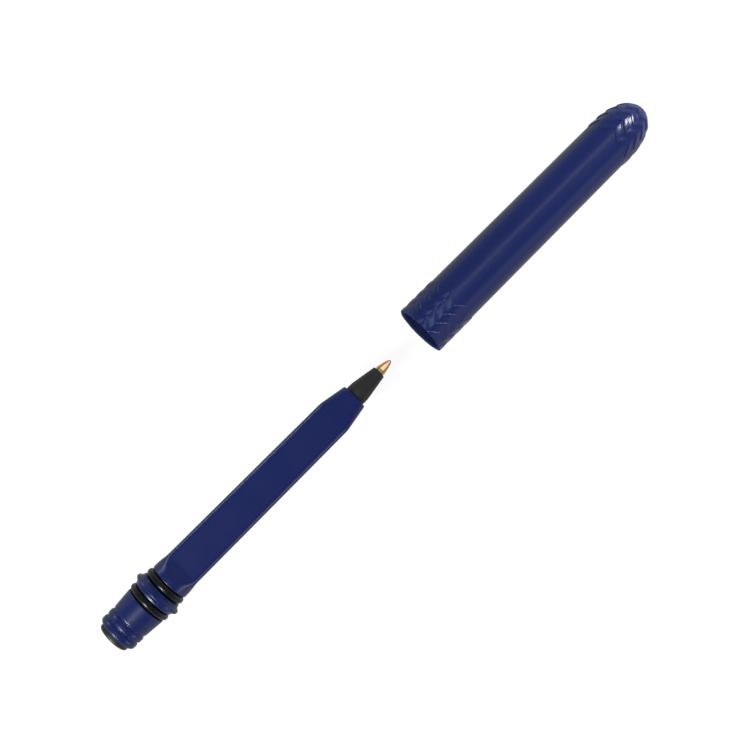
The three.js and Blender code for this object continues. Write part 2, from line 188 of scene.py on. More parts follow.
class Finish(Nodes):
    """A material under construction around one Principled shader."""

    def __init__(self, name, **constants):
        self.material = bpy.data.materials.new(name)
        self.material.use_nodes = True
        super().__init__(self.material.node_tree)
        self.shader = self.add("ShaderNodeBsdfPrincipled", {}, {})
        self.surface = Wire(self, self.shader.outputs[0])
        self.output = self.add("ShaderNodeOutputMaterial", {}, {"Surface": self.surface})
        for socket, value in constants.items():
            self.feed(socket.replace("_", " "), value)

    def feed(self, socket, value):
        """Sets or links a socket of the Principled shader."""
        self.join(self.shader.inputs[socket], value)

    def place(self, stretch=(1, 1, 1)):
        """Object coordinates centred on the pen's axis, in metres, stretched for a pattern."""
        here = self.node("ShaderNodeTexCoord", {}, {}, "Object")
        return self.node(
            "ShaderNodeMapping",
            {},
            {"Vector": here, "Location": (0, 0, -AXIS_HEIGHT * stretch[2]), "Scale": stretch},
        )

    def noise(self, scale, stretch=(1, 1, 1), detail=3):
        """Cloudy noise: scale is about how many spots it has a metre, times the stretch."""
        inputs = {"Vector": self.place(stretch), "Scale": scale, "Detail": detail}
        return self.node("ShaderNodeTexNoise", {}, inputs)

    def spots(self, scale, low, high, stretch=(1, 1, 1), detail=3):
        """Noise made into spots: 0 where it is below low, and 1 where it is above high."""
        return self.between(self.noise(scale, stretch, detail), low, high)

    def mixed(self, factor, first, second):
        """A colour between two colours."""
        inputs = {0: factor, 6: opaque(first), 7: opaque(second)}
        return self.node("ShaderNodeMix", {"data_type": "RGBA"}, inputs, 2)

    def toned(self, factor, colour, low, high):
        """A colour scaled by low where the factor is 0, and by high where it is 1."""
        return self.mixed(factor, scaled(colour, low), scaled(colour, high))

    def relief(self, height, depth):
        """Feeds a bump to the shader's normal: a height of 1 stands proud by depth, in metres."""
        self.feed("Normal", self.node("ShaderNodeBump", {}, {"Height": height, "Distance": depth}))


# Colours of the finishes
NAVY = (0.0056, 0.0155, 0.120)
NAVY_CAP = (0.0095, 0.0190, 0.116)
# A lighter navy for the cap's matt rim and bore: painted light that lifts the shaded bore
MATT_NAVY_PAINTED_LIGHT = (0.020, 0.034, 0.17)
BLACK_PLASTIC = (0.024, 0.024, 0.024)
RUBBER = (0.008, 0.009, 0.009)
BRASS = (0.80, 0.56, 0.27)
COPPER = (0.72, 0.36, 0.22)
BALL_METAL = (0.55, 0.50, 0.46)
INK_FILM = (0.10, 0.09, 0.10)
MILKY = (0.74, 0.77, 0.80)
MILKY_LINE = (0.66, 0.70, 0.74)
INK = (0.004, 0.004, 0.010)
GREASE = (0.62, 0.52, 0.26)

# How rough the finishes are, from 0 for a mirror to 1
BARREL_ROUGHNESS = 0.30
CAP_ROUGHNESS = 0.24
BLACK_ROUGHNESS = 0.46
MATT_ROUGHNESS = 0.8
HAIRLINE_ROUGHNESS = 0.06
PATCH_ROUGHNESS = 0.035
RUBBER_ROUGHNESS = 0.2
BRASS_ROUGHNESS = 0.24
BALL_ROUGHNESS = 0.16
TUBE_ROUGHNESS = 0.32
INK_ROUGHNESS = 0.12
GREASE_ROUGHNESS = 0.2

# Depths of relief, in metres
GLOSSY_GRAIN = 1.5e-6
SATIN_GRAIN = 4e-6
RUBBER_GRAIN = 2e-6
LATHE_RINGS = 1.6e-6
TUBE_LINES = 2e-6
FLUID_SWELL = 5e-6

# Stretches of noise along the pen, across it and up
FLOW_STRETCH = (0.35, 1, 1)
HAIRLINE_STRETCH = (160, 9000, 9000)
RING_STRETCH = (26000, 60, 60)
TUBE_STRETCH = (30, 5000, 5000)
SWIRL_STRETCH = (0.2, 1, 1)

# Where the cap's matt rim and bore, painted a lighter navy as painted light, turn glossy, and how
# far back and how softly the brass turns coppery from the ball, in metres
RIM_FADE = (0.01 * MM, 0.06 * MM)
BORE_FADE = 0.1 * MM
DOME_FADE = 1 * MM
COPPER_REACH = 1.6 * MM
COPPER_FADE = 1.2 * MM


def moulded_plastic(name, colour, roughness, grain=GLOSSY_GRAIN, matt=None):
    """Injection moulded plastic: faint flow in the colour, fine grain, and hairlines along the pen.

    matt gives the share of a matt finish, from 0 to 1, as a wire. That share is also painted a
    lighter navy: painted light.
    """
    f = Finish(name, IOR=1.49)
    flow = f.noise(45, FLOW_STRETCH, detail=4)
    speck = f.noise(2600, detail=2)
    shade = f.between(flow * 0.8 + speck * 0.2, 0.25, 0.75)
    tint = f.toned(shade, colour, 0.93, 1.07)
    lines = f.spots(1, 0.62, 0.74, HAIRLINE_STRETCH, detail=2)
    patches = f.spots(90, 0.35, 0.7)
    gloss = roughness + lines * HAIRLINE_ROUGHNESS + patches * PATCH_ROUGHNESS
    if matt:
        share = matt(f)
        gloss = gloss * (1 - share) + share * MATT_ROUGHNESS
        # The matt share takes a lighter navy: painted light in the cap's shaded bore
        tint = f.mixed(share, tint, MATT_NAVY_PAINTED_LIGHT)
    f.feed("Base Color", tint)
    f.feed("Roughness", gloss)
    skin = f.noise(7500, detail=2) + f.noise(900) * 2
    f.relief(skin - lines * 0.6, grain)
    return f.material


def cap_plastic(rim, bore, dome_start):
    """Glossy outside, and matt on the rim and in the bore, up to the dome. The matt part is painted
    a lighter navy: painted light in the shaded bore.
    """

    def matt(f):
        x, y, z = f.split(f.place())
        outside = f.between((y * y + z * z) ** 0.5, bore, bore + BORE_FADE)
        ahead = f.between(x, rim + RIM_FADE[0], rim + RIM_FADE[1])
        behind = 1 - f.between(x, dome_start - DOME_FADE, dome_start)
        return behind * (1 - outside * ahead)

    return moulded_plastic("cap_plastic", NAVY_CAP, CAP_ROUGHNESS, matt=matt)


def seal_rubber():
    """Black rubber with a thin film of grease: soft mottling and a fine matt grain."""
    f = Finish("seal_rubber", IOR=1.5, Specular_IOR_Level=0.38)
    mottle = f.spots(700, 0.3, 0.7, detail=4)
    f.feed("Base Color", f.toned(mottle, RUBBER, 0.8, 1.3))
    f.feed("Roughness", RUBBER_ROUGHNESS + f.spots(1500, 0.4, 0.7, detail=2) * 0.08)
    f.relief(f.noise(9000, detail=2), RUBBER_GRAIN)
    return f.material


def turned_brass(copper_start):
    """Turned brass, coppery towards the ball, with the lathe's rings round it."""
    f = Finish("point_brass", Metallic=1.0, Anisotropic=0.3)
    rings = f.noise(1, RING_STRETCH, detail=2)
    station = f.split(f.place())[0]
    copper = f.between(station, copper_start, copper_start + COPPER_FADE)
    tarnish = f.spots(900, 0.35, 0.75, detail=4)
    warm = f.mixed(copper * 0.7, BRASS, COPPER)
    f.feed("Base Color", f.mixed(tarnish * 0.22, warm, scaled(COPPER, 0.7)))
    f.feed("Roughness", BRASS_ROUGHNESS + rings * 0.12)
    f.relief(rings, LATHE_RINGS)
    return f.material


def ball_metal():
    """A ground ball wetted by a film of ink in patches."""
    f = Finish("ball_metal", Metallic=1.0)
    film = f.spots(4200, 0.45, 0.62)
    f.feed("Base Color", f.mixed(film * 0.6, BALL_METAL, INK_FILM))
    f.feed("Roughness", BALL_ROUGHNESS + film * 0.1)
    return f.material


def milky_plastic():
    """Extruded refill tube, cloudy, with faint lines along it."""
    f = Finish("milky_plastic", IOR=1.5)
    lines = f.spots(1, 0.4, 0.7, TUBE_STRETCH, detail=2)
    f.feed("Base Color", f.mixed(lines, MILKY, MILKY_LINE))
    f.feed("Roughness", TUBE_ROUGHNESS + lines * 0.1)
    f.relief(lines, TUBE_LINES)
    return f.material


def refill_fluid(name, colour, roughness):
    """Ink or grease: a wet surface, a little uneven."""
    f = Finish(name, IOR=1.45)
    swirl = f.spots(600, 0.3, 0.7, SWIRL_STRETCH)
    f.feed("Base Color", f.toned(swirl, colour, 1, 1.35))
    f.feed("Roughness", roughness + swirl * 0.05)
    f.relief(f.noise(800, detail=2), FLUID_SWELL)
    return f.material


# Profiles: an arc takes up to ARC_SHARE of a side, and a straight run has points END_STEP from
# its ends, in millimetres, or END_SHARE of its length where it is short
ARC_SHARE = 0.48
END_STEP = 0.04
END_SHARE = 0.2
NEARLY_STRAIGHT = math.radians(89.5)
TURNED_COLUMNS = 192


def unit(vector):
    """A vector of length 1, the same way."""
    return vector / np.linalg.norm(vector)


def outline(corners, closed=False, spacing=0.5, arc_step=12):
    """Points of a profile through corners (station, radius, rounding), each corner an arc.

    A corner's arc touches both its sides, at rounding / tan(half its angle) from the corner, or
    less where a side is short. Straight runs get points close to each end and at even spacing.
    """
    corners = [tuple(c) + (0,) * (3 - len(c)) for c in corners]
    count = len(corners)
    runs = []
    for i, (station, radius, rounding) in enumerate(corners):
        here = np.array([station, radius], float)
        if rounding == 0 or (not closed and i in (0, count - 1)):
            runs.append(here[None])
            continue
        before = np.array(corners[i - 1][:2], float) - here
        after = np.array(corners[(i + 1) % count][:2], float) - here
        back, ahead = unit(before), unit(after)
        half = math.acos(np.clip(back @ ahead, -1, 1)) / 2
        if half > NEARLY_STRAIGHT:
            runs.append(here[None])
            continue
        reach = rounding / math.tan(half)
        shorter = min(np.linalg.norm(before), np.linalg.norm(after))
        reach = min(reach, ARC_SHARE * shorter)
        size = reach * math.tan(half)
        middle = here + unit(back + ahead) * size / math.sin(half)
        start, end = here + back * reach - middle, here + ahead * reach - middle
        turn = math.pi - 2 * half
        steps = max(2, math.ceil(math.degrees(turn) / arc_step))
        t = np.linspace(0, 1, steps + 1)[:, None]
        arc = np.sin((1 - t) * turn) * start + np.sin(t * turn) * end
        runs.append(middle + arc / math.sin(turn))
    points = [runs[0]]
    order = list(range(1, count)) + ([0] if closed else [])
    for i in order:
        start, end = points[-1][-1], runs[i][0]
        length = np.linalg.norm(end - start)
        if length > 1e-6:
            near = min(END_STEP, END_SHARE * length)
            even = np.linspace(near, length - near, max(2, math.ceil(length / spacing)))
            points.append(start + (end - start) * (even / length)[:, None])
        if i:
            points.append(runs[i])
    return np.concatenate(points)


def placed(points):
    """Millimetres from the tail and the axis to metres in the frame."""
    return points * MM + np.array([TAIL, 0, AXIS_HEIGHT])


def round_piece(name, rows, closed=False):
    """A closed skin over rings: rows is rings by columns by 3, in millimetres.

    Vertex (i, j) is joined to (i, j + 1), (i + 1, j + 1) and (i + 1, j), the columns run round,
    and the rings run round too where the profile is closed. Otherwise the first and last ring
    are single points on the axis, each closed by triangles.
    """
    count, around = rows.shape[:2]
    index = np.arange(count * around).reshape(count, around)
    if not closed:
        index = np.arange((count - 2) * around).reshape(count - 2, around) + 1
        vertices = np.concatenate([rows[0, :1], rows[1:-1].reshape(-1, 3), rows[-1, :1]])
    else:
        vertices = rows.reshape(-1, 3)
    ahead = np.roll(index, -1, axis=0) if closed else index[1:]
    here = index if closed else index[:-1]
    quads = np.stack([here, np.roll(here, -1, 1), np.roll(ahead, -1, 1), ahead], -1).reshape(-1, 4)
    loops, sizes = [quads.ravel()], [np.full(len(quads), 4)]
    if not closed:
        first, last = index[0], index[-1]
        start = np.stack([np.zeros_like(first), np.roll(first, -1), first], -1)
        end = np.stack([np.full_like(last, len(vertices) - 1), last, np.roll(last, -1)], -1)
        loops += [start.ravel(), end.ravel()]
        sizes += [np.full(2 * around, 3)]
    loops, sizes = np.concatenate(loops), np.concatenate(sizes)
    mesh = bpy.data.meshes.new(name)
    mesh.vertices.add(len(vertices))
    mesh.vertices.foreach_set("co", placed(vertices).astype(np.float32).ravel())
    mesh.loops.add(len(loops))
    mesh.loops.foreach_set("vertex_index", loops.astype(np.int32))
    mesh.polygons.add(len(sizes))
    starts = np.concatenate([[0], np.cumsum(sizes)[:-1]])
    mesh.polygons.foreach_set("loop_start", starts.astype(np.int32))
    mesh.polygons.foreach_set("use_smooth", np.ones(len(sizes), bool))
    mesh.update(calc_edges=True)
    mesh.validate()
    piece = bpy.data.objects.new(name, mesh)
    bpy.context.scene.collection.objects.link(piece)
    return piece


def spun(profile, around=TURNED_COLUMNS):
    """Rings of a turned shape: each profile point (x, r) goes round as (x, -r sin a, r cos a)."""
    angle = np.linspace(0, 2 * math.pi, around, endpoint=False)
    x = np.repeat(profile[:, :1], around, axis=1)
    radius = profile[:, 1:2]
    return np.stack([x, -radius * np.sin(angle), radius * np.cos(angle)], -1)


def dress(piece, node, body, material):
    """Gives a piece its finish and its place in the frame's table."""
    piece.data.materials.append(material)
    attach(piece, body)
    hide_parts(node)
    return piece


# Stations and sizes shared by several pieces, from the frame
plug_start, plug_end = along("end_plug")
barrel_start, barrel_end = along("barrel")
cone_back, cone_end = along("nose_cone")
lip = along("writing_point")[1]
ball_start, ball_end = along("ball")
ball_radius = (ball_end - ball_start) / 2
ball_centre = (ball_start + ball_end) / 2
cap_start = along("cap")[0]

# Fits, in millimetres
PRESS_FIT = 0.05
SEAT_GAP = 0.05

# Roundings of small edges and corners, in millimetres
SEAT_ROUND = 0.03
CRISP_ROUND = 0.05
MOULDED_ROUND = 0.1
EDGE_ROUND = 0.12
SOFT_ROUND = 0.15

# End plug
PLUG_HEAD_RADIUS = 4.05
PLUG_EDGE = 0.9
PLUG_SPIGOT_RADIUS = 2.95
PLUG_SPIGOT_ROUND = 0.2
PLUG_LEAD_IN = 0.4


def end_plug():
    """Turned profile: a flat end, a round edge, the head, and the spigot in the stub."""
    shoulder = barrel_start - SEAT_GAP
    profile = outline([
        (plug_start, 0),
        (plug_start, PLUG_HEAD_RADIUS, PLUG_EDGE),
        (shoulder, PLUG_HEAD_RADIUS, EDGE_ROUND),
        (shoulder, PLUG_SPIGOT_RADIUS, MOULDED_ROUND),
        (plug_end - PLUG_LEAD_IN, PLUG_SPIGOT_RADIUS, PLUG_SPIGOT_ROUND),
        (plug_end, PLUG_SPIGOT_RADIUS - PLUG_LEAD_IN, MOULDED_ROUND),
        (plug_end, 0),
    ], arc_step=6)
    return round_piece("end_plug_skin", spun(profile))


# Barrel, tail part
STUB_RADIUS = 5.04
STUB_WAIST_RADIUS = 4.96
STUB_COLLAR_RADIUS = 5.37
STUB_ROUND = 1.0
STUB_EDGE = 0.12
NOTCH_PITCH = 2.0
NOTCH_COUNT = 2
NOTCH_DEPTH = 0.42
NOTCH_HALF = 0.45
NOTCH_SHOULDER_ROUND = 0.8
GROOVE_EDGE_DROP = 0.1
COLLAR_FOOT = 5.57
COLLAR_CREST = 6.35
COLLAR_REAR_LAND = 0.55
COLLAR_REAR_RISE = 0.17
COLLAR_FRONT_LAND = 0.64
COLLAR_REAR_FLANK = 0.58
COLLAR_CREST_WIDTH = 0.5
COLLAR_FOOT_ROUND = 0.4
COLLAR_CREST_ROUND = 0.25
GROOVE_MARGIN = 0.2
RING_SECTION = 1.8
SHOULDER_RADIUS = 5.07
SHOULDER_LENGTH = 1.3
SHOULDER_ROUND = 0.3

# Barrel, three-sided part
BLEND_LENGTH = 3.6
GRIP_FLAT = 3.25
GRIP_REAR_REACH = 5.25
GRIP_FRONT_REACH = 5.05
NOSE_LENGTH = 7.65
NOSE_REACH = 3.47
NOSE_FLAT = 3.12
NOSE_BEND = 1.4
NOSE_ROUND = 0.25
BORE_RADIUS = 2.35
BORE_INSET = 0.3

# Rows of the barrel's stretches, and the columns of half a side, in degrees from its middle
BLEND_ROWS = 24
GRIP_ROWS = 39
NOSE_BEND_ROWS = 8
NOSE_ROWS = 15
NOSE_EDGE_ROWS = 5
FLAT_COLUMNS = np.linspace(0, 40, 11)
CORNER_COLUMNS = np.linspace(42.5, 60, 15)


def section(reach, flat, angle):
    """Distance from the axis to a rounded triangle, at an angle from the middle of a flat.

    reach is the distance to a corner and flat the distance to a side. The side is straight up to
    the tangent point of the corner's arc, whose centre lies 2 (reach - flat) from the axis.
    """
    centre = 2 * (reach - flat)
    corner = 2 * flat - reach
    tangent = np.arctan2(centre * math.sqrt(3) / 2, flat)
    off = math.pi / 3 - angle
    arc = centre * np.cos(off) + np.sqrt(np.maximum(corner ** 2 - (centre * np.sin(off)) ** 2, 0))
    return np.where(angle <= tangent, flat / np.cos(angle), arc)


def stub_corners(groove):
    """Corners of the tail stub: round end, notches between the snap ribs, and the taper."""
    corners = [(barrel_start, STUB_RADIUS, STUB_ROUND)]
    for i in range(1, NOTCH_COUNT + 1):
        notch = barrel_start + i * NOTCH_PITCH
        after = STUB_RADIUS if i < NOTCH_COUNT else STUB_WAIST_RADIUS
        corners += [
            (notch - NOTCH_HALF, STUB_RADIUS, NOTCH_SHOULDER_ROUND),
            (notch, STUB_RADIUS - NOTCH_DEPTH, EDGE_ROUND),
            (notch + NOTCH_HALF, after, NOTCH_SHOULDER_ROUND),
        ]
    corners += [
        (groove - STUB_EDGE, STUB_COLLAR_RADIUS, SOFT_ROUND),
        (groove, STUB_COLLAR_RADIUS - GROOVE_EDGE_DROP, CRISP_ROUND),
    ]
    return corners


def collar_corners(rear_middle, front_middle):
    """Corners of the two grooves, the collar's crest between them, and the shoulder."""
    reach = RING_SECTION / 2 + GROOVE_MARGIN
    rear_start, rear_end = rear_middle - reach, rear_middle + reach
    front_start, front_end = front_middle - reach, front_middle + reach
    rear_foot, front_foot = rear_end + COLLAR_REAR_LAND, front_start - COLLAR_FRONT_LAND
    crest_start = rear_foot + COLLAR_REAR_FLANK
    rear_floor = outermost("rear_o_ring") - RING_SECTION - PRESS_FIT
    front_floor = outermost("front_o_ring") - RING_SECTION - PRESS_FIT
    return [
        (rear_start, rear_floor, MOULDED_ROUND),
        (rear_end, rear_floor, MOULDED_ROUND),
        (rear_end, COLLAR_FOOT - COLLAR_REAR_RISE, CRISP_ROUND),
        (rear_foot, COLLAR_FOOT + GROOVE_EDGE_DROP / 2, COLLAR_FOOT_ROUND),
        (crest_start, COLLAR_CREST, COLLAR_CREST_ROUND),
        (crest_start + COLLAR_CREST_WIDTH, COLLAR_CREST, COLLAR_CREST_ROUND),
        (front_foot, COLLAR_FOOT, COLLAR_FOOT_ROUND),
        (front_start, COLLAR_FOOT - 2 * GROOVE_EDGE_DROP, CRISP_ROUND),
        (front_start, front_floor, MOULDED_ROUND),
        (front_end, front_floor, MOULDED_ROUND),
        (front_end, SHOULDER_RADIUS, SHOULDER_ROUND),
        (front_end + SHOULDER_LENGTH, SHOULDER_RADIUS, 0),
    ]


def barrel():
    """Rings of (station, reach, flat), from the tail's end face to the nose, then back in the bore.

    Round stretches have reach equal to flat. After the shoulder both follow a smooth step,
    t t (3 - 2 t), to the grip's values, then a straight line, then a parabola into the nose's
    straight line, and a quarter circle round its edge.
    """
    rear_middle, front_middle = sum(along("rear_o_ring")) / 2, sum(along("front_o_ring")) / 2
    stub = stub_corners(rear_middle - RING_SECTION / 2 - GROOVE_MARGIN)
    collar = collar_corners(rear_middle, front_middle)
    blend_start = collar[-1][0]
    plug_bore_end = plug_end + PLUG_LEAD_IN
    plug_bore = PLUG_SPIGOT_RADIUS + PRESS_FIT
    tail = outline([(barrel_start, plug_bore, 0), *stub, *collar], spacing=0.35, arc_step=8)
    round_rows = np.column_stack([tail[:, 0], tail[:, 1], tail[:, 1]])
    t = np.linspace(0, 1, BLEND_ROWS + 1)[1:]
    ease = t * t * (3 - 2 * t)
    blend = np.column_stack([
        blend_start + t * BLEND_LENGTH,
        SHOULDER_RADIUS + (GRIP_REAR_REACH - SHOULDER_RADIUS) * ease,
        SHOULDER_RADIUS + (GRIP_FLAT - SHOULDER_RADIUS) * ease,
    ])
    grip_start, grip_end = blend_start + BLEND_LENGTH, barrel_end - NOSE_LENGTH
    t = np.linspace(0, 1, GRIP_ROWS + 1)[1:-1]
    grip = np.column_stack([
        grip_start + t * (grip_end - grip_start),
        GRIP_REAR_REACH + t * (GRIP_FRONT_REACH - GRIP_REAR_REACH),
        np.full_like(t, GRIP_FLAT),
    ])
    run = np.concatenate([
        np.linspace(0, NOSE_BEND, NOSE_BEND_ROWS + 1),
        np.linspace(NOSE_BEND, NOSE_LENGTH - NOSE_ROUND, NOSE_ROWS + 1)[1:],
    ])
    bent = np.where(run < NOSE_BEND, run * run / (2 * NOSE_BEND), run - NOSE_BEND / 2)
    whole = NOSE_LENGTH - NOSE_BEND / 2
    nose = np.column_stack([
        grip_end + run,
        GRIP_FRONT_REACH + (NOSE_REACH - GRIP_FRONT_REACH) * bent / whole,
        GRIP_FLAT + (NOSE_FLAT - GRIP_FLAT) * bent / whole,
    ])
    turn = np.linspace(0, math.pi / 2, NOSE_EDGE_ROWS + 1)[1:]
    edge = np.column_stack([
        barrel_end - NOSE_ROUND * (1 - np.sin(turn)),
        nose[-1, 1] - NOSE_ROUND * (1 - np.cos(turn)),
        nose[-1, 2] - NOSE_ROUND * (1 - np.cos(turn)),
    ])
    bore = outline([
        (barrel_end, BORE_RADIUS + BORE_INSET, 0),
        (barrel_end, BORE_RADIUS, MOULDED_ROUND),
        (plug_bore_end, BORE_RADIUS, MOULDED_ROUND),
        (plug_bore_end, plug_bore, MOULDED_ROUND),
        (barrel_start + BORE_INSET, plug_bore, 0),
    ], spacing=2)
    bore_rows = np.column_stack([bore[:, 0], bore[:, 1], bore[:, 1]])
    rows = np.concatenate([round_rows, blend, grip, nose, edge, bore_rows])
    half = np.radians(np.concatenate([FLAT_COLUMNS, CORNER_COLUMNS]))
    side = 2 * math.pi / 3
    turns = np.concatenate([half, side - half[-2:0:-1]])
    folded = np.minimum(turns, side - turns)
    angles = np.concatenate([turns + k * side for k in range(3)])
    folded = np.tile(folded, 3)
    radius = section(rows[:, 1:2], rows[:, 2:3], folded[None])
    x = np.repeat(rows[:, :1], len(angles), axis=1)
    grid = np.stack([x, -radius * np.sin(angles), radius * np.cos(angles)], -1)
    return round_piece("barrel_skin", grid, closed=True)


# O-rings, whose flash stands FLASH_HEIGHT proud, and thins out over FLASH_SPREAD radians
RING_STEPS = 96
FLASH_HEIGHT = 0.012
FLASH_SPREAD = 0.05


def o_ring(node):
    """Torus: a circle of section, with a hair of flash at its outermost, carried round the axis."""
    section_radius = RING_SECTION / 2
    middle = sum(along(node)) / 2
    centre = outermost(node) - section_radius
    turn = np.linspace(0, 2 * math.pi, RING_STEPS, endpoint=False)
    from_top = np.abs((turn + math.pi) % (2 * math.pi) - math.pi)
    size = section_radius + FLASH_HEIGHT * np.exp(-(from_top / FLASH_SPREAD) ** 2)
    profile = np.column_stack([middle + size * np.sin(turn), centre + size * np.cos(turn)])
    return round_piece(node + "_skin", spun(profile), closed=True)


# Nose cone
CONE_LAND_RADIUS = 2.72
CONE_LAND_LENGTH = 1.75
CONE_BEND_ROUND = 2.5
CONE_TIP_RADIUS = 1.65
NIPPLE_RADIUS = 1.2
NIPPLE_LENGTH = 4.5
INK_CHANNEL_RADIUS = 0.5
SHANK_RADIUS = 1.0
SHANK_LENGTH = 3.6


def nose_cone():
    """Turned tube: nipple, spigot in the barrel, land, cone, and the socket of the point."""
    face = barrel_end + SEAT_GAP
    spigot_back = cone_back + NIPPLE_LENGTH
    spigot = BORE_RADIUS - PRESS_FIT
    socket = SHANK_RADIUS + PRESS_FIT
    floor = cone_end - SHANK_LENGTH - SEAT_GAP
    profile = outline([
        (cone_back, INK_CHANNEL_RADIUS, CRISP_ROUND),
        (cone_back, NIPPLE_RADIUS, SOFT_ROUND),
        (spigot_back, NIPPLE_RADIUS, CRISP_ROUND),
        (spigot_back, spigot, SOFT_ROUND),
        (face, spigot, SEAT_ROUND),
        (face, CONE_LAND_RADIUS, EDGE_ROUND),
        (face + CONE_LAND_LENGTH, CONE_LAND_RADIUS, CONE_BEND_ROUND),
        (cone_end, CONE_TIP_RADIUS, SOFT_ROUND),
        (cone_end, socket, CRISP_ROUND),
        (floor, socket, SEAT_ROUND),
        (floor, INK_CHANNEL_RADIUS, SEAT_ROUND),
    ], closed=True)
    return round_piece("nose_cone_skin", spun(profile), closed=True)


# Writing point
POINT_HEAD_RADIUS = 1.25
POINT_HEAD_LENGTH = 0.8
POINT_HEAD_ROUND = 0.06
POINT_EASE_LENGTH = 0.2
POINT_EASE_ROUND = 0.3
POINT_CONE_RADIUS = 1.19
POINT_BEND_LENGTH = 1.4
POINT_BEND_RADIUS = 0.87
POINT_BEND_ROUND = 6
POINT_CHANNEL_RADIUS = 0.3
LIP_WALL = 0.05
BALL_CLEARANCE = 0.03
BOWL_ROWS = 16
BALL_ROWS = 49
BALL_COLUMNS = 96


def writing_point():
    """Turned tube: shank, head and taper, then the lip and the ball's round seat inside.

    The seat is a circle round the ball's centre, from the lip to where it meets the ink channel.
    """
    shoulder = cone_end + SEAT_GAP
    shank_end = shoulder - SHANK_LENGTH
    head_end = shoulder + POINT_HEAD_LENGTH
    cone_start = head_end + POINT_EASE_LENGTH
    seat = ball_radius + BALL_CLEARANCE
    lip_angle = math.acos((lip - ball_centre) / seat)
    inner = seat * math.sin(lip_angle)
    floor_angle = math.pi - math.asin(POINT_CHANNEL_RADIUS / seat)
    turn = np.linspace(lip_angle, floor_angle, BOWL_ROWS)
    outside = outline([
        (shank_end, POINT_CHANNEL_RADIUS, 0),
        (shank_end, SHANK_RADIUS, EDGE_ROUND),
        (shoulder, SHANK_RADIUS, SEAT_ROUND),
        (shoulder, POINT_HEAD_RADIUS, POINT_HEAD_ROUND),
        (head_end, POINT_HEAD_RADIUS, POINT_EASE_ROUND),
        (cone_start, POINT_CONE_RADIUS, POINT_EASE_ROUND),
        (cone_start + POINT_BEND_LENGTH, POINT_BEND_RADIUS, POINT_BEND_ROUND),
        (lip - 2 * LIP_WALL, inner + 2 * LIP_WALL, EDGE_ROUND),
        (lip, inner + LIP_WALL, SEAT_ROUND),
        (lip, inner, 0),
    ], spacing=0.12)
    bowl = np.column_stack([ball_centre + seat * np.cos(turn), seat * np.sin(turn)])
    profile = np.concatenate([outside, bowl[1:]])
    return round_piece("writing_point_skin", spun(profile), closed=True)


def ball():
    """Sphere from pole to pole along the pen's axis: a half circle spun."""
    turn = np.linspace(0, math.pi, BALL_ROWS)
    x, radius = ball_centre - ball_radius * np.cos(turn), ball_radius * np.sin(turn)
    return round_piece("ball_skin", spun(np.column_stack([x, radius]), BALL_COLUMNS))


# Cap
CAP_RADIUS = 6.58
CAP_DRAFT = 0.2
CAP_DOME_LENGTH = 11.3
CAP_DOME_FULLNESS = 2.12
CAP_TRUE_LENGTH = 78.691  # the solid's facets end a hair short of this
CAP_DOME_START = CAP_TRUE_LENGTH - CAP_DOME_LENGTH
CAP_MOUTH_BORE = 5.62
CAP_MOUTH_LENGTH = 6
CAP_BORE = 5.45
CAP_END_BORE = 5.3
CAP_END_WALL = 1.25
CAP_STEP_ROUND = 0.3
CAP_RIM_CHAMFER = 0.35
CAP_CHAMFER_ROUND = 0.2
CAP_FACE_ROUND = 0.08
CAP_RIM_ROUND = 0.12

# Zigzag ribs
RIB_HEIGHT = 0.17
RIB_TOP = 0.6
RIB_STEEP_FLANK = 0.2
RIB_GENTLE_FLANK = 1.35
STEEP_FOOT_ROUND = 0.12
STEEP_EDGE_ROUND = 0.08
GENTLE_FOOT_ROUND = 0.3
GENTLE_EDGE_ROUND = 3
ZIGZAGS = 8
ZIGZAG_REACH = 2.35
MOUTH_RIBS = 4
MOUTH_RIB_PITCH = 2.95
MOUTH_RIB_OFFSET = 0.05
DOME_RIBS = 4
DOME_RIB_PITCH = 3.05
DOME_RIB_MARGIN = 2.2
COLUMNS_PER_ZIGZAG = 24
RIB_RUN_MARGIN = 0.3

# Rows of the cap's stretches, and how far apart rows keep that meet at the rim
RIM_ROWS = 5
PLAIN_ROWS = 40
TIP_ROWS = 25
BORE_DOME_ROWS = 24
LEAST_STEP = 0.003


def cap_surface(x):
    """Radius of the smooth cap at stations x from its rim, and the slope of that radius.

    It falls along a straight line to the dome, and there as (1 - t^p)^(1/p), where t runs from 0
    to 1 along the dome and p is its fullness.
    """
    end_radius = CAP_RADIUS - CAP_DRAFT
    body = CAP_RADIUS - CAP_DRAFT * np.clip(x, 0, CAP_DOME_START) / CAP_DOME_START
    t = np.clip((x - CAP_DOME_START) / CAP_DOME_LENGTH, 0, 1)
    power = CAP_DOME_FULLNESS
    share = np.maximum(1 - t ** power, 1e-9) ** (1 / power)
    radius = np.where(x <= CAP_DOME_START, body, end_radius * share)
    steepness = t ** (power - 1) * share ** (1 - power) / CAP_DOME_LENGTH
    slope = np.where(x <= CAP_DOME_START, 0, -end_radius * steepness)
    return radius, slope


def rib_run(near_feet, steep_first):
    """Points (station, relief) of a run of ribs: a steep flank, a top and a gentle flank each."""
    steep = (RIB_STEEP_FLANK, STEEP_FOOT_ROUND, STEEP_EDGE_ROUND)
    gentle = (RIB_GENTLE_FLANK, GENTLE_FOOT_ROUND, GENTLE_EDGE_ROUND)
    first, second = (steep, gentle) if steep_first else (gentle, steep)
    corners = [(near_feet[0] - RIB_RUN_MARGIN, 0, 0)]
    for foot in near_feet:
        top_start = foot + first[0]
        top_end = top_start + RIB_TOP
        corners += [
            (foot, 0, first[1]),
            (top_start, RIB_HEIGHT, first[2]),
            (top_end, RIB_HEIGHT, second[2]),
            (top_end + second[0], 0, second[1]),
        ]
    corners.append((corners[-1][0] + RIB_RUN_MARGIN, 0, 0))
    return outline(corners, spacing=0.25, arc_step=8)


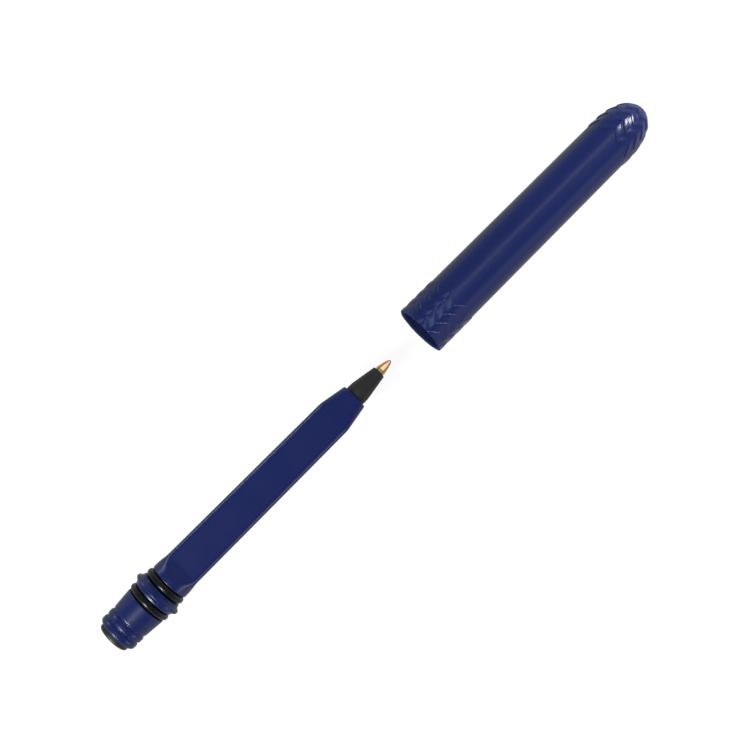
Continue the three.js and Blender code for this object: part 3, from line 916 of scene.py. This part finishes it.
RIB_LENGTH = RIB_STEEP_FLANK + RIB_TOP + RIB_GENTLE_FLANK
mouth_run = rib_run(MOUTH_RIB_OFFSET - RIB_LENGTH + MOUTH_RIB_PITCH * np.arange(MOUTH_RIBS), False)


def cap_outer_rows():
    """Rows (station, zigzag share, relief, nearest to the rim) from the rim to the closed end.

    The rim's edge is a quarter circle. The zigzag share is 1 along both runs of ribs, 0 between
    them, and falls evenly to 0 at the tip.
    """
    last = CAP_TRUE_LENGTH - DOME_RIB_MARGIN
    dome_run = rib_run(last - RIB_LENGTH - DOME_RIB_PITCH * np.arange(DOME_RIBS)[::-1], True)
    turn = np.linspace(0, math.pi / 2, RIM_ROWS)
    edge = CAP_RIM_ROUND * np.column_stack([1 - np.cos(turn), 0 * turn, np.sin(turn) - 1])
    mouth = np.column_stack([mouth_run[:, 0], np.ones(len(mouth_run))])
    least = CAP_RIM_ROUND + LEAST_STEP * np.arange(1, len(mouth) + 1)
    plain_start = mouth_run[-1, 0] + 2 * ZIGZAG_REACH
    plain_end = dome_run[0, 0] - ZIGZAG_REACH
    plain = np.linspace(plain_start, plain_end, PLAIN_ROWS)
    q = np.linspace(0, 1, TIP_ROWS + 1)[1:]
    start = dome_run[-1, 0]
    closing = start + (CAP_TRUE_LENGTH - start) * (1 - (1 - q) ** 2)
    rows = np.zeros((len(edge) + len(mouth) + len(plain) + len(dome_run) + len(q), 4))
    parts = np.split(rows, np.cumsum([len(edge), len(mouth), len(plain), len(dome_run)]))
    parts[0][:, :3] = edge
    parts[1][:, :2], parts[1][:, 3] = mouth, least
    parts[2][:, 0] = plain
    parts[3][:, 0], parts[3][:, 1], parts[3][:, 2] = dome_run[:, 0], 1, dome_run[:, 1]
    parts[4][:, 0], parts[4][:, 1] = closing, 1 - q
    return rows


def cap():
    """Inner profile spun from its deep end to the rim, then the ribbed outer rows to the tip.

    A point of an outer row lies at station + share x reach x zigzag, where zigzag rises and falls
    evenly eight times round, but no nearer to the rim than the row's last value. It stands off
    the smooth cap, along the normal there, by the row's relief and the mouth ribs' relief at its
    own station less reach x zigzag.
    """
    around = ZIGZAGS * COLUMNS_PER_ZIGZAG
    first_point = math.pi / ZIGZAGS / 2
    angle = first_point + np.linspace(0, 2 * math.pi, around, endpoint=False)
    share = (np.arange(around) % COLUMNS_PER_ZIGZAG) / COLUMNS_PER_ZIGZAG * 2
    zigzag = np.where(share < 1, share, 2 - share)
    station, part, height, least = cap_outer_rows().T[:, :, None]
    base, _ = cap_surface(station)
    reach = ZIGZAG_REACH * (base / CAP_RADIUS) ** 2
    x = np.maximum(station + part * reach * zigzag, least)
    relief = height + np.interp(x - reach * zigzag, mouth_run[:, 0], mouth_run[:, 1])
    radius, slope = cap_surface(x)
    length = np.sqrt(1 + slope ** 2)
    out_x = x - relief * slope / length
    out_r = radius + relief / length
    outer = np.stack([cap_start + out_x, -out_r * np.sin(angle), out_r * np.cos(angle)], -1)
    depth = CAP_TRUE_LENGTH - CAP_END_WALL
    turn = np.linspace(0, math.pi / 2, BORE_DOME_ROWS)
    dome = np.column_stack([
        CAP_DOME_START + (depth - CAP_DOME_START) * np.cos(turn), CAP_END_BORE * np.sin(turn)
    ])
    bore = outline([
        (CAP_DOME_START, CAP_END_BORE, 0),
        (CAP_MOUTH_LENGTH + 2 * (CAP_MOUTH_BORE - CAP_BORE), CAP_BORE, CAP_STEP_ROUND),
        (CAP_MOUTH_LENGTH, CAP_MOUTH_BORE, CAP_STEP_ROUND),
        (CAP_RIM_CHAMFER, CAP_MOUTH_BORE, CAP_CHAMFER_ROUND),
        (0, CAP_MOUTH_BORE + CAP_RIM_CHAMFER, CAP_FACE_ROUND),
        (0, CAP_RADIUS - CAP_RIM_ROUND, 0),
    ], spacing=1.5)
    profile = np.concatenate([dome, bore[1:-1]])
    radius = profile[:, 1:2]
    inner_x = np.repeat(cap_start + profile[:, :1], around, axis=1)
    inner = np.stack([inner_x, -radius * np.sin(angle), radius * np.cos(angle)], -1)
    return round_piece("cap_skin", np.concatenate([inner, outer]))


navy = moulded_plastic("navy_plastic", NAVY, BARREL_ROUGHNESS)
black = moulded_plastic("black_plastic", BLACK_PLASTIC, BLACK_ROUGHNESS, SATIN_GRAIN)
rubber = seal_rubber()
brass = turned_brass(TAIL + ball_centre * MM - COPPER_REACH)
pen_pieces = [
    dress(barrel(), "barrel", "pen_body", navy),
    dress(end_plug(), "end_plug", "pen_body", black),
    dress(o_ring("rear_o_ring"), "rear_o_ring", "pen_body", rubber),
    dress(o_ring("front_o_ring"), "front_o_ring", "pen_body", rubber),
    dress(nose_cone(), "nose_cone", "pen_body", black),
    dress(writing_point(), "writing_point", "pen_body", brass),
    dress(ball(), "ball", "ball", ball_metal()),
]
cap_material = cap_plastic(
    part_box("cap")[0].x,
    (CAP_MOUTH_BORE + CAP_RIM_CHAMFER) * MM,
    TAIL + (cap_start + CAP_DOME_START) * MM,
)
cap_piece = dress(cap(), "cap", "cap", cap_material)

# The refill's inner parts keep the frame's shapes
for node, material in (
    ("ink_tube", milky_plastic()),
    ("ink_column", refill_fluid("ink", INK, INK_ROUGHNESS)),
    ("grease_follower", refill_fluid("grease", GREASE, GREASE_ROUGHNESS)),
):
    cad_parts[node].data.materials.clear()
    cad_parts[node].data.materials.append(material)

# Stage. The shares say how much of the white backdrop shiny pieces mirror
WHITE = (1, 1, 1)
FLOOR_SIZE = 6.0
FLOOR_GREY = (0.25, 0.25, 0.25)
FLOOR_LIFT = 0.92
FLOOR_GLOSS_SHARE = 0.35
WORLD_GLOSS_SHARE = 0.09

# The world's light, round the horizon and overhead, and the heights between which it fades
HORIZON_LIGHT = 0.21
OVERHEAD_LIGHT = 0.096
FADE = (0.1, 0.75)


def make_floor():
    """A square of pale board under the pen.

    A glow lifts it to white where the camera sees it, straight or through something clear, and
    partly where shiny pieces mirror it. It adds no light to the pieces, and the board's own
    colour keeps their shadow.
    """
    grid = np.array([[-1, -1, 0], [1, -1, 0], [1, 1, 0], [-1, 1, 0]], float) * FLOOR_SIZE / 2
    mesh = bpy.data.meshes.new("floor")
    mesh.from_pydata(grid.tolist(), [], [(0, 1, 2, 3)])
    floor = bpy.data.objects.new("floor", mesh)
    bpy.context.scene.collection.objects.link(floor)
    f = Finish("floor_board", Base_Color=opaque(FLOOR_GREY), Roughness=0.9, Specular_IOR_Level=0.1)
    seen = f.ray("Camera") + f.ray("Transmission") + f.ray("Glossy") * FLOOR_GLOSS_SHARE
    glow = f.node(
        "ShaderNodeEmission", {}, {"Color": opaque(WHITE), "Strength": seen * FLOOR_LIFT}
    )
    lifted = f.node("ShaderNodeAddShader", {}, {0: f.surface, 1: glow})
    f.join(f.output.inputs["Surface"], lifted)
    mesh.materials.append(f.material)
    return floor


LAMP_DISTANCE = 0.6
COOL = (0.75, 0.87, 1.0)


def make_lamp(
    name, station, lean, aside, size, level, lit, diffuse=True, glossy=True, tint=WHITE
):
    """An area lamp over a station of the pen, which lights only the pieces in lit.

    It stands LAMP_DISTANCE away, lean degrees from straight up towards +X and aside degrees
    towards +Y, and its size runs along the pen and across it. Its power is set so that a white
    board lying at the station shows the level, where 1 is white. One without glossy is soft fill,
    and one without diffuse is a panel that is only seen mirrored.
    """
    data = bpy.data.lights.new(name, "AREA")
    data.shape = "RECTANGLE"
    data.size, data.size_y = size
    way = Vector((math.tan(math.radians(lean)), math.tan(math.radians(aside)), 1)).normalized()
    data.energy = level * 4 * math.pi * LAMP_DISTANCE ** 2 / way.z
    data.color = tint
    lamp = bpy.data.objects.new(name, data)
    bpy.context.scene.collection.objects.link(lamp)
    target = Vector((TAIL + station * MM, 0, AXIS_HEIGHT))
    along_pen = (Vector((1, 0, 0)) - way * way.x).normalized()
    turn = Matrix((along_pen, way.cross(along_pen), way)).transposed()
    lamp.matrix_world = Matrix.Translation(target + way * LAMP_DISTANCE) @ turn.to_4x4()
    reach = bpy.data.collections.new(name + "_reach")
    for piece in lit:
        reach.objects.link(piece)
    lamp.light_linking.receiver_collection = reach
    lamp.visible_diffuse = diffuse
    lamp.visible_glossy = glossy


def make_world():
    """Bright round the horizon and dimmer overhead.

    The camera sees it white, and so does whatever is seen through something clear. Shiny pieces
    mirror some of that white, most of it from round the horizon.
    """
    world = bpy.data.worlds.new("studio")
    world.use_nodes = True
    w = Nodes(world.node_tree)
    height = w.split(w.node("ShaderNodeTexCoord", {}, {}, "Generated"))[2]
    light = w.between(height, *FADE, HORIZON_LIGHT, OVERHEAD_LIGHT)
    mirrored = w.ray("Glossy") * w.between(height, *FADE, WORLD_GLOSS_SHARE, 0)
    white = w.ray("Camera") + w.ray("Transmission") + mirrored
    strength = w.node("ShaderNodeMix", {"data_type": "FLOAT"}, {0: white, 2: light, 3: 1})
    back = w.node("ShaderNodeBackground", {}, {"Color": opaque(WHITE), "Strength": strength})
    w.add("ShaderNodeOutputWorld", {}, {0: back})
    bpy.context.scene.world = world


floor = make_floor()
make_world()

# The photograph's highlights on the pen and on the cap don't fit one set of lamps, so each has
# its own. Name, station, lean, aside, size in metres, level, and the pieces lit
pen_floor, cap_floor = [*pen_pieces, floor], [cap_piece, floor]
barrel_only, point_pieces = pen_pieces[:1], pen_pieces[-2:]
make_lamp("pen_key", 30, -50, 4, (0.17, 0.17), 0.3, pen_floor)
make_lamp("pen_glint", 30, -50, 4, (0.15, 0.15), 0.4, pen_pieces, diffuse=False)
make_lamp("pen_fill", 45, 45, 0, (0.9, 0.9), 0.48, pen_pieces, glossy=False)
make_lamp("pen_streak", 10, -26, 2, (0.12, 0.12), 0.025, pen_pieces)
make_lamp("pen_left", 33, 0, 76, (0.19, 0.14), 0.03, barrel_only, diffuse=False)
make_lamp("pen_right", 33, 0, -76, (0.19, 0.14), 0.022, barrel_only, diffuse=False)
make_lamp("point_panel", 90, 35, 0, (0.5, 1.1), 0.43, point_pieces, diffuse=False)
make_lamp("cap_key", 150, 54, 1, (0.13, 0.13), 0.28, cap_floor)
make_lamp("cap_fill", 140, 45, 0, (0.6, 0.6), 0.35, [cap_piece], glossy=False)
make_lamp("cap_back", 110, -65, 0, (0.5, 0.4), 0.18, [cap_piece], glossy=False)
make_lamp("cap_top", 150, 20, 9, (0.5, 0.13), 0.032, [cap_piece], tint=COOL)
make_lamp("cap_side", 150, 15, -68, (0.5, 0.3), 0.013, [cap_piece])
make_lamp("cap_mouth", 105, -7, 4, (0.26, 0.34), 0.1, [cap_piece], diffuse=False, tint=COOL)

bpy.context.scene.view_settings.view_transform = "Standard"
